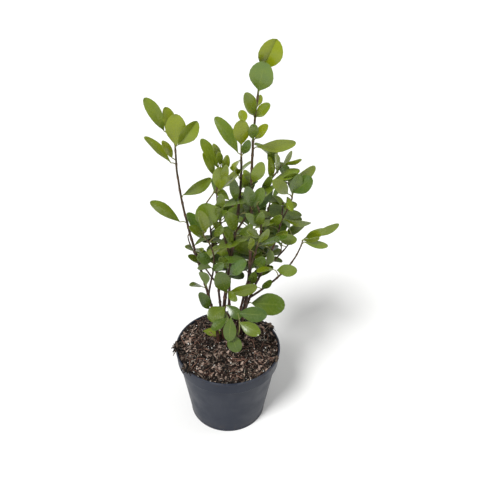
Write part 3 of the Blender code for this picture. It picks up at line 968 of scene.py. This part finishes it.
bark_skin = bark_tree()
stem_paths, bough_paths = Paths(), Paths()
for seed, limb in enumerate(limbs.values()):
    add_limb(stem_paths if limb.stands else bough_paths, limb, seed)
for piece_name, paths, names, slot_name, greener in (
    ("stems", stem_paths, STEMS, "bark", 0.0),
    ("boughs", bough_paths, BOUGHS, "young_bark", 0.12),
):
    made = made_by(bark_skin, piece_name, paths.mesh(piece_name + "_paths"), {
        "Sides": LIMB_SIDES, "Relief": BARK_ROUGH, "Grain": BARK_LUMPS,
        "Material": bark_finish(slot_name, greener).material,
    })
    piece = place(piece_name, made)
    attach(piece, "root")
    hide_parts(*names)


# Leaves
# Evergreen leaves, broad, thick and glossy, on short stalks: yellow-green where they are young,
# deep green with age, paler beneath, with a pale midrib. Each stands on a stalk from its limb.

BLADE_STATIONS = 10
BLADE_COLUMNS = 4
BLADE_THICKNESS = 0.00034
WIDEST_AT = 0.57
BASE_TAPER = 1.15
TIP_TAPER = 0.44
BLADE_SPREAD = 0.98
STALK_RADIUS = 0.00042
TWIG_RADIUS = 0.00062
LONG_STALK = 0.009
MIDRIB_SINK = 0.0007
YOUNG_FROM = 0.265
GROWN_FROM = 0.165
LEAF_SEED = 5
GROWN_LENGTH = (0.021, 0.027)
MOST_FORESHORTENED = 0.017
SHARE_AWAY = 0.6
STEEPEST_ROLL = 0.5
BELOW_BASE = Vector((0.0, 4.0))
EDGE_CURL = 0.22
EDGE_WAVES = 9.0
WAVE_SHIFT = 7
STALK_STEPS = 8
STALK_SIDES = 7

# Every leaf that shows, read off the photograph, by the limb that bears it: the pixels of its base
# and tip, its width in pixels, how far its base and its tip stand in front of the limb at least, in
# millimetres, its roll away from the viewer and its fold in degrees, and its tone from -1,
# blue-green, to 1, yellow-green. A roll over 90 shows the underside. A leaf that shows shorter
# than it has grown points further to the viewer, or away where its tip stands behind its base.
LEAVES = {
    # The tall stem's tip and the pairs under it
    "stem_tall": (
        ((262, 69), (277, 39), 27, 1, 4, 10, 30, 0.7),
        ((259, 91), (265, 62), 25, 2, 5, -12, 12, -0.6),
        ((254, 116), (245, 93), 13, 1, 5, 25, 16, 0.3),
        ((256, 117), (270, 104), 11, 1, 3, -20, 18, 0.2),
        ((257, 107), (261, 95), 6, -2, -5, 30, 20, 0.6),
        ((253, 139), (253, 124), 11, 2, 5, 10, 14, -0.2),
        ((255, 139), (268, 125), 10, 1, 4, -25, 20, 0.9),
        ((256, 147), (296, 143), 13, -1, -4, 30, 18, 0.3),
        ((253, 182), (262, 162), 13, 3, 8, 15, 12, 0.0),
        ((251, 184), (244, 170), 7, -3, -6, 20, 15, -0.3),
        ((252, 207), (246, 187), 12, 3, 7, 20, 15, -0.5),
        ((254, 208), (263, 188), 12, 2, 4, -15, 12, -0.6),
        ((254, 212), (272, 189), 10, -2, -4, 15, 12, -0.7),
    ),
    # The middle stem's tip
    "stem_middle": (
        ((243, 124), (242, 110), 10, -1, -2, 20, 14, 0.9),
        ((241, 145), (242, 120), 17, 4, 5, 0, 12, 1.3),
        ((238, 153), (215, 117), 14, 0, -3, 25, 16, -0.5),
        ((243, 154), (249, 140), 9, 1, 2, 10, 12, -0.6),
        ((240, 160), (234, 170), 5, 3, 6, 60, 20, 0.4),
        ((239, 178), (230, 168), 5, 3, 6, 60, 20, 0.5),
        ((236, 201), (232, 178), 10, 4, 9, 10, 12, -0.6),
        ((236, 230), (226, 213), 13, 4, 9, 20, 15, -0.2),
        ((233, 243), (224, 229), 9, 3, 8, 30, 15, -0.3),
        ((240, 235), (252, 224), 9, 3, 6, 25, 15, -0.2),
        ((229, 268), (219, 258), 9, 4, 9, 20, 14, 0.1),
        ((230, 275), (246, 261), 13, 5, 11, -10, 12, -0.7),
        ((226, 292), (219, 272), 17, 8, 16, 0, 10, 0.0),
        ((229, 292), (257, 286), 12, 6, 12, 35, 16, 0.8),
        ((229, 291), (237, 301), 9, 6, 13, 20, 25, 0.5),
        ((225, 307), (209, 320), 18, 8, 20, 10, 12, 0.1),
        ((227, 305), (241, 318), 12, 7, 16, 10, 15, -0.6),
        ((226, 312), (226, 324), 7, 7, 15, 160, 10, 0.4),
    ),
    # The left stem's tip and the leaves down its length
    "stem_left": (
        ((164, 131), (144, 98), 14, 1, 5, 22, 18, 0.1),
        ((172, 141), (165, 107), 14, -2, -4, 30, 20, 0.9),
        ((176, 146), (176, 114), 22, 2, 4, -5, 18, 0.6),
        ((178, 145), (197, 121), 18, 3, 6, 20, 30, 0.4),
        ((171, 163), (144, 137), 9, 2, 6, 40, 22, 0.3),
        ((172, 158), (162, 141), 8, 1, 3, 25, 15, 0.8),
        ((183, 195), (211, 178), 12, 1, 4, 30, 20, 0.2),
        ((180, 222), (150, 202), 12, 2, 7, 32, 16, 0.1),
        ((193, 250), (185, 247), 5, 1, 3, 40, 10, 0.4),
        ((196, 251), (203, 248), 5, 1, 3, 40, 10, 0.4),
        ((203, 287), (190, 286), 5, 2, 6, 65, 14, 0.2),
        ((206, 286), (202, 272), 10, 4, 10, 150, 12, 0.2),
        ((209, 309), (199, 293), 11, 5, 13, 20, 16, -0.5),
        ((198, 263), (188, 256), 6, 1, 3, 40, 10, 0.1),
    ),
    # The short bough on the left
    "bough_left_short": (
        ((208, 228), (206, 203), 25, 2, 5, 0, 14, 0.0),
        ((206, 232), (199, 211), 11, 5, 8, 25, 20, 0.8),
        ((204, 236), (187, 213), 12, -1, -2, 25, 18, -0.5),
        ((203, 238), (189, 227), 9, 1, 4, 35, 18, 0.0),
        ((212, 261), (197, 257), 12, 2, 8, 10, 16, -0.7),
        ((212, 268), (198, 267), 8, 2, 7, 150, 14, 0.1),
        ((213, 271), (223, 263), 9, 2, 5, 20, 14, -0.5),
        ((215, 237), (222, 226), 8, 0, 2, 20, 14, 0.2),
    ),
    # The bough between the left and middle stems
    "bough_middle_left": (
        ((218, 168), (201, 139), 12, 1, 4, 20, 16, 0.0),
        ((214, 176), (203, 153), 9, 2, 6, 30, 16, 0.3),
        ((220, 160), (213, 144), 7, -1, -1, 25, 14, 0.2),
        ((221, 165), (218, 152), 7, 0, 0, 20, 14, 0.4),
        ((224, 172), (227, 155), 8, 0, 1, 15, 14, 0.1),
        ((222, 182), (226, 165), 8, 1, 3, 20, 14, 0.3),
        ((220, 190), (220, 167), 16, 3, 6, 0, 12, 0.3),
        ((219, 209), (221, 194), 9, 3, 6, 15, 12, 0.0),
        ((221, 220), (216, 207), 8, 3, 6, 15, 12, 0.0),
        ((222, 232), (213, 222), 8, 2, 6, 25, 12, 0.3),
    ),
    # The bough between the middle and right stems
    "bough_middle_right": (
        ((272, 166), (272, 145), 11, 2, 3, 15, 14, 0.0),
        ((271, 182), (269, 157), 7, 2, 4, 45, 14, 0.2),
        ((278, 173), (275, 154), 5, 0, 0, 60, 14, 0.3),
        ((283, 165), (301, 159), 5, 0, 0, 65, 10, 0.5),
        ((282, 166), (292, 151), 5, -3, -5, 60, 10, 0.3),
        ((262, 192), (271, 176), 8, 1, 2, 20, 12, -0.3),
    ),
    # The right stem and its fork
    "bough_right_fork": (
        ((290, 186), (315, 166), 11, 0, 2, 35, 16, 0.4),
        ((293, 193), (312, 178), 17, 3, 6, -10, 10, -0.6),
        ((281, 181), (297, 173), 7, -1, -1, 50, 12, 0.2),
        ((288, 194), (273, 180), 13, 4, 9, 10, 14, 0.9),
        ((292, 194), (299, 174), 12, 1, 2, 20, 14, -0.4),
        ((287, 197), (293, 211), 7, 3, 7, 30, 14, 0.3),
    ),
    "stem_right": (
        ((269, 226), (281, 215), 9, 1, 3, 25, 14, 0.2),
        ((284, 219), (311, 223), 6, 1, 4, 60, 14, 0.3),
        ((276, 236), (297, 240), 12, 3, 8, 25, 22, 0.1),
        ((275, 238), (287, 231), 9, 3, 6, 30, 18, 0.3),
        ((266, 266), (272, 251), 9, 4, 7, 150, 12, 0.3),
        ((255, 268), (264, 257), 12, 4, 8, 10, 12, -0.7),
        ((262, 246), (274, 240), 6, 2, 5, 50, 12, 0.5),
        ((250, 286), (254, 272), 9, 4, 7, 20, 14, -0.2),
        ((262, 289), (271, 280), 7, 3, 6, 25, 12, -0.4),
        ((251, 303), (285, 305), 23, 8, 22, 10, 12, -0.3),
    ),
    # The low bough on the right
    "bough_right_low": (
        ((277, 270), (297, 270), 13, 2, 6, 15, 14, -0.1),
        ((275, 270), (257, 272), 5, 3, 7, 60, 12, 0.9),
        ((302, 240), (319, 237), 5, 0, 2, 60, 24, 0.4),
        ((305, 238), (325, 229), 9, 1, 3, 30, 14, 0.4),
        ((312, 236), (339, 224), 8, 0, 3, 35, 12, 0.5),
        ((304, 242), (328, 246), 8, 2, 6, 25, 14, 0.2),
    ),
    # The side bough of the tall stem
    "bough_tall_side": (
        ((250, 250), (251, 238), 7, 4, 8, 40, 20, 0.6),
        ((260, 237), (247, 231), 8, 3, 7, 35, 16, 0.5),
        ((258, 243), (268, 229), 7, 3, 6, 40, 14, 0.4),
        ((257, 226), (262, 212), 9, 1, 3, 20, 14, -0.2),
        ((257, 226), (246, 214), 9, 2, 5, 20, 14, -0.4),
    ),
    # The short shoot in front and the lowest leaves
    "stem_front": (
        ((238, 313), (267, 315), 16, 4, 12, 10, 10, -0.8),
        ((239, 322), (260, 334), 14, 8, 18, 10, 14, 0.5),
        ((231, 317), (229, 341), 14, 8, 15, 10, 10, -0.3),
        ((230, 332), (238, 352), 15, 12, 20, 10, 14, -0.2),
        ((227, 318), (212, 330), 10, 3, 10, 30, 14, -0.5),
    ),
}

# Where the photograph can't see, the limbs branch by rule: from each node in turn, a golden angle
# on, grows a leaf or a twig with leaves of its own. Each row has the limb, where its nodes start
# and end along it, how many there are, and the share of them that bear a twig.
BRANCHING = (
    ("stem_back_left", 0.44, 1.0, 12, 0.40),
    ("stem_back_middle", 0.44, 1.0, 12, 0.40),
    ("stem_back_right", 0.42, 1.0, 12, 0.40),
    ("bough_back_left", 0.40, 1.0, 6, 0.30),
    ("bough_back_right", 0.40, 1.0, 6, 0.30),
    ("stem_middle", 0.46, 0.80, 4, 0.0),
    ("stem_right", 0.46, 0.96, 5, 0.0),
    ("stem_tall", 0.36, 0.60, 3, 0.0),
    ("stem_left", 0.25, 0.44, 3, 0.0),
    ("bough_left_short", 0.50, 1.0, 3, 0.0),
    ("bough_middle_left", 0.50, 0.90, 3, 0.0),
    ("bough_middle_right", 0.50, 1.0, 3, 0.0),
    ("bough_right_fork", 0.40, 1.0, 3, 0.0),
    ("bough_tall_side", 0.40, 1.0, 3, 0.0),
)
NODE_TURN = math.radians(137.5)
TWIG_LENGTH = (0.010, 0.018)
LEAF_LENGTH = (0.018, 0.027)
LEAF_STALK = (0.003, 0.006)
LEAF_RISE = (0.15, 1.1)
LEAF_BROAD = 0.60
LEAF_DROOP = 0.25
MOST_FORWARD = -0.25
TURNS_TRIED = 6
TURN_ON = math.radians(50)
BACKMOST = 0.070

# The outline of the crown where its leaves stand close, in pixels
CROWN = (
    (206, 170), (216, 150), (232, 146), (240, 124), (254, 130), (266, 148), (298, 160), (312, 170),
    (306, 192), (290, 200), (284, 216), (292, 238), (284, 256), (262, 268), (236, 258), (214, 264),
    (196, 260), (184, 246), (183, 210), (192, 194),
)

# The leaf that has dropped on the compost: its base, tip and width in pixels
FALLEN = ((203, 331), (220, 334), 8)

# Each age of leaf: its dull and its bright colour, blue-green or yellow-green by tone
LEAF_COLOURS = {
    "young": ((0.090, 0.158, 0.026, 1.0), (0.215, 0.260, 0.003, 1.0)),
    "grown": ((0.062, 0.118, 0.018, 1.0), (0.168, 0.212, 0.003, 1.0)),
    "old": ((0.036, 0.078, 0.012, 1.0), (0.115, 0.155, 0.003, 1.0)),
}
UNDERSIDE = (0.190, 0.250, 0.085, 1.0)
MIDRIB = (0.210, 0.265, 0.040, 1.0)
STALK_GREEN = (0.190, 0.210, 0.050, 1.0)
STALK_RED = (0.110, 0.045, 0.025, 1.0)

LEAF_GLOSS = 0.50
LEAF_CELLS = 260.0
LEAF_CLOUDS = 70.0
LEAF_RELIEF = 0.00012
SIDE_VEINS = 8.0
VEIN_SLANT = 1.8


def blade_width(share):
    """The half width along a leaf, from 0 to 1: drawn in at the stalk, round at the tip."""
    if share < WIDEST_AT:
        return math.sin(math.pi / 2 * share / WIDEST_AT) ** BASE_TAPER
    return math.sin(math.pi / 2 * (1 - share) / (1 - WIDEST_AT)) ** TIP_TAPER


class Foliage:
    """Leaves of one age, joined into one closed mesh."""

    def __init__(self):
        self.points, self.faces, self.places, self.tones, self.unders = [], [], [], [], []

    def add(self, base, tip, normal, width, fold, bulge, wave, tone):
        """A leaf from base to tip: folded along its midrib, bowed along its length, wavy edged."""
        along = tip - base
        length = along.length
        along.normalize()
        normal = (normal - along * normal.dot(along)).normalized()
        across = along.cross(normal)
        first = len(self.points)
        columns = BLADE_COLUMNS + 1
        for side in (1, -1):
            for station in range(BLADE_STATIONS + 1):
                share = 0.5 - 0.5 * math.cos(math.pi * station / BLADE_STATIONS)
                half = max(STALK_RADIUS, width / 2 * blade_width(share))
                bow = bulge * length * 4 * share * (1 - share)
                middle = base + along * length * share + normal * bow
                for column in range(columns):
                    out = 2 * column / BLADE_COLUMNS - 1
                    lift = abs(out) * half * math.sin(fold) - out * out * half * EDGE_CURL
                    lift += wave * half * out * math.sin(share * EDGE_WAVES + tone * WAVE_SHIFT)
                    lift += MIDRIB_SINK * (1 - abs(out)) * (-1 if half > 0.002 else 0)
                    point = middle + across * out * half * math.cos(fold) + normal * lift
                    self.points.append(point + normal * side * BLADE_THICKNESS / 2)
                    self.places.append((share, column / BLADE_COLUMNS))
                    self.tones.append(tone)
                    self.unders.append(0.0 if side > 0 else 1.0)
        under = first + (BLADE_STATIONS + 1) * columns
        for station in range(BLADE_STATIONS):
            for column in range(BLADE_COLUMNS):
                corner = station * columns + column
                ring = (corner, corner + columns, corner + columns + 1, corner + 1)
                self.faces.append(tuple(first + index for index in reversed(ring)))
                self.faces.append(tuple(under + index for index in ring))
        rim = [station * columns for station in range(BLADE_STATIONS)]
        rim += [BLADE_STATIONS * columns + column for column in range(BLADE_COLUMNS)]
        rim += [station * columns + BLADE_COLUMNS for station in range(BLADE_STATIONS, 0, -1)]
        rim += list(range(BLADE_COLUMNS, 0, -1))
        for here, after in zip(rim, rim[1:] + rim[:1]):
            self.faces.append((first + here, first + after, under + after, under + here))

    def mesh(self, name):
        mesh = bpy.data.meshes.new(name)
        mesh.from_pydata(self.points, [], self.faces)
        for kind, values in (("tone", self.tones), ("under", self.unders)):
            mesh.attributes.new(kind, "FLOAT", "POINT").data.foreach_set("value", values)
        chart = mesh.uv_layers.new(name="blade")
        for loop in mesh.loops:
            chart.uv[loop.index].vector = self.places[loop.vertex_index]
        return mesh


def leaf_finish(age):
    """Waxy leaf: cell mottling, a pale midrib and faint side veins, and a dull pale underside."""
    finish = Finish("leaf_" + age, Specular_IOR_Level=LEAF_GLOSS)
    dull, bright = LEAF_COLOURS[age]
    under = finish.reads("under")
    chart = finish.node("ShaderNodeUVMap", {"uv_map": "blade"}, {})
    along = finish.node("ShaderNodeSeparateXYZ", {}, {0: chart}, "X")
    across = finish.node("ShaderNodeSeparateXYZ", {}, {0: chart}, "Y")
    aside = abs(across - 0.5) * 2
    rib = aside.between(0.07, 0.015) * along.between(1.0, 0.55)
    vein = (along * SIDE_VEINS - aside * VEIN_SLANT).zigzag(0.5).between(0.06, 0.0)
    vein = vein * aside.between(1.0, 0.5)
    mottle = finish.grain(LEAF_CELLS, 4.0)
    clouds = finish.grain(LEAF_CLOUDS, 2.0)
    yellow = finish.reads("tone") * 0.5 + 0.5 + (clouds - 0.5) * 0.5 + (mottle - 0.5) * 0.4
    colour = finish.mix(yellow.kept(), dull, bright)
    colour = finish.mix(vein * 0.09, colour, MIDRIB)
    colour = finish.mix(rib * 0.32, colour, MIDRIB)
    colour = finish.mix(under * 0.72, colour, UNDERSIDE)
    finish.set("Base Color", colour)
    finish.set("Roughness", 0.20 + mottle * 0.14 + under * 0.30)
    finish.relief((1 - vein * 0.5) * (1 - rib * 0.6) + mottle * 0.4, LEAF_RELIEF, 0.7)
    return finish


foliage = {"young": Foliage(), "grown": Foliage(), "old": Foliage()}
stalks = Paths()


def leaf_age(height):
    """The age of a leaf by the height at which it grows: the top of the plant is the youngest."""
    if height > YOUNG_FROM:
        return "young"
    return "grown" if height > GROWN_FROM else "old"


def add_stalk(limb, share, base, along):
    """A stalk from inside the limb to the leaf, or a thicker twig where the leaf stands far off."""
    start = limb.at(share)
    reach = (base - start).length
    radius = TWIG_RADIUS if reach > LONG_STALK else STALK_RADIUS
    bend = start + (limb.way(share) + along * 0.4).normalized() * reach * 0.55
    points, radii, tones = [], [], []
    for step in range(STALK_STEPS + 1):
        t = step / STALK_STEPS
        points.append(start.lerp(bend, t).lerp(bend.lerp(base, t), t))
        radii.append(radius + (STALK_RADIUS * 0.9 - radius) * t)
        tones.append(max(0.0, 1 - t * reach / 0.010) if reach > LONG_STALK else 0.15)
    points.append(base + along * 0.0012)
    radii.append(STALK_RADIUS * 0.8)
    tones.append(0.0)
    stalks.add(points, radii, tones)


def shown_leaf(limb, base_pixel, tip_pixel, wide, before, ahead, roll, fold, tone):
    """A leaf that shows in the photograph, on its stalk."""
    share = limb.nearest(Vector(base_pixel) + BELOW_BASE)
    base = sight(base_pixel, y=limb.at(share).y - before / 1000)
    shown = (sight(tip_pixel, y=base.y) - base).length
    hidden = math.sqrt(max(0.0, draw.uniform(*GROWN_LENGTH) ** 2 - shown ** 2))
    turn_in = math.cos(LOOK_DOWN) * min(hidden, MOST_FORESHORTENED)
    if ahead < before:
        tip = sight(tip_pixel, y=base.y + max((before - ahead) / 1000, turn_in * SHARE_AWAY))
    else:
        tip = sight(tip_pixel, y=base.y - max((ahead - before) / 1000, turn_in))
    along = (tip - base).normalized()
    roll = math.radians(roll)
    width = wide * (base - EYE).length / FOCAL_PIXELS / max(STEEPEST_ROLL, abs(math.cos(roll)))
    normal = Matrix.Rotation(roll, 3, along) @ (EYE - base).normalized()
    foliage[leaf_age(base.z)].add(
        base, tip, normal, width * BLADE_SPREAD, math.radians(fold),
        draw.uniform(0.03, 0.11), draw.uniform(0.03, 0.10), tone + draw.uniform(-0.25, 0.25)
    )
    add_stalk(limb, share, base, along)


draw = random.Random(LEAF_SEED)
for limb_name, rows in LEAVES.items():
    for row in rows:
        shown_leaf(limbs[limb_name], *row)


def within(outline, pixel):
    """Whether a pixel lies inside an outline of pixels."""
    inside = False
    for (x, y), (next_x, next_y) in zip(outline, outline[1:] + outline[:1]):
        if (y > pixel.y) != (next_y > pixel.y):
            if pixel.x < x + (next_x - x) * (pixel.y - y) / (next_y - y):
                inside = not inside
    return inside


def way_out(foot, angle, rise, reach):
    """A level way from a foot, the first from an angle on that stays in the crown, or none."""
    for attempt in range(TURNS_TRIED):
        out = Vector((math.cos(angle), math.sin(angle), 0.0))
        end = foot + (out + Vector((0.0, 0.0, rise))).normalized() * reach
        if out.y > MOST_FORWARD and end.y < BACKMOST and within(CROWN, seen(end)):
            return out
        angle += TURN_ON
    return None


def grow_leaf(foot, out, rise):
    """A leaf that grows from a foot on a limb or twig, up and outwards, and droops a little."""
    along = (out + Vector((0.0, 0.0, rise))).normalized()
    base = foot + along * draw.uniform(*LEAF_STALK)
    length = draw.uniform(*LEAF_LENGTH)
    tip = base + (along - Vector((0.0, 0.0, LEAF_DROOP))).normalized() * length
    tip.y = min(BACKMOST, tip.y)
    facing = Vector((draw.uniform(-0.3, 0.3), draw.uniform(-0.3, 0.3), 1.0)) - out * 0.35
    foliage[leaf_age(base.z)].add(
        base, tip, facing, length * LEAF_BROAD * draw.uniform(0.85, 1.15),
        math.radians(draw.uniform(8, 26)), draw.uniform(0.03, 0.10), draw.uniform(0.02, 0.08),
        draw.uniform(-0.8, 0.6)
    )
    return base, along


def grow_twig(foot, out, rise):
    """A short twig with a leaf to each side and one at its tip."""
    along = (out + Vector((0.0, 0.0, rise))).normalized()
    length = draw.uniform(*TWIG_LENGTH)
    end = foot + along * length
    stalks.add(
        [foot, foot.lerp(end, 0.5) + Vector((0.0, 0.0, 0.04 * length)), end],
        [TWIG_RADIUS, TWIG_RADIUS * 0.9, TWIG_RADIUS * 0.75], [0.9, 0.6, 0.4]
    )
    aside = Vector((-out.y, out.x, 0.0))
    for share, way in ((0.5, out + aside), (0.8, out - aside), (1.0, out)):
        base, leaf_way = grow_leaf(foot.lerp(end, share), way.normalized(), rise * 0.7)
        stalks.add([foot.lerp(end, share), base + leaf_way * 0.001], [STALK_RADIUS] * 2, [0.1, 0.0])


for limb_name, start, end, count, twig_share in BRANCHING:
    limb = limbs[limb_name]
    angle = draw.uniform(0.0, math.tau)
    for node in range(count):
        share = start + (end - start) * node / (count - 1)
        angle += NODE_TURN
        rise = draw.uniform(*LEAF_RISE) + (1.0 if node == count - 1 else 0.0)
        twig = draw.random() < twig_share
        reach = LEAF_LENGTH[1] + (TWIG_LENGTH[1] if twig else 0.0)
        out = way_out(limb.at(share), angle, rise, reach)
        if out is None:
            continue
        if twig:
            grow_twig(limb.at(share), out, rise)
        else:
            base, along = grow_leaf(limb.at(share), out, rise)
            add_stalk(limb, share, base, along)

fallen_base, fallen_tip, fallen_width = FALLEN
base = sight(fallen_base, z=SOIL_LEVEL + 0.003)
tip = sight(fallen_tip, z=SOIL_LEVEL + 0.0036)
foliage["old"].add(
    base, tip, Vector((0.1, -0.2, 1.0)), fallen_width * (base - EYE).length / FOCAL_PIXELS * 1.35,
    math.radians(14), 0.06, 0.05, 1.25
)

nodes_by_slot = {}
for part in frame["record"]["subparts"]:
    nodes_by_slot.setdefault(part["material_slot"], []).append(part["node"])
for age, leaves in foliage.items():
    leaf_mesh = leaves.mesh("leaves_" + age)
    shade(leaf_mesh, leaf_finish(age), 55)
    crown = place("foliage_" + age, leaf_mesh)
    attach(crown, "root")
    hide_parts(*nodes_by_slot["leaves_" + age])

stalk_skin = Finish("leaf_stalks")
stalk_streaks = stalk_skin.grain(500.0, 3.0, (1.0, 1.0, 0.3))
woody = stalk_skin.reads("tone") * 0.9 + (stalk_streaks - 0.5) * 0.5
stalk_skin.set("Base Color", stalk_skin.mix(woody.kept(), STALK_GREEN, STALK_RED))
stalk_skin.set("Roughness", 0.40 + stalk_streaks * 0.20)
stalk_mesh = made_by(bark_skin, "leaf_stalks", stalks.mesh("stalk_paths"), {
    "Sides": STALK_SIDES, "Relief": 0.15, "Grain": 1500.0, "Material": stalk_skin.material,
})
leaf_stalks = place("leaf_stalks", stalk_mesh)
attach(leaf_stalks, "root")
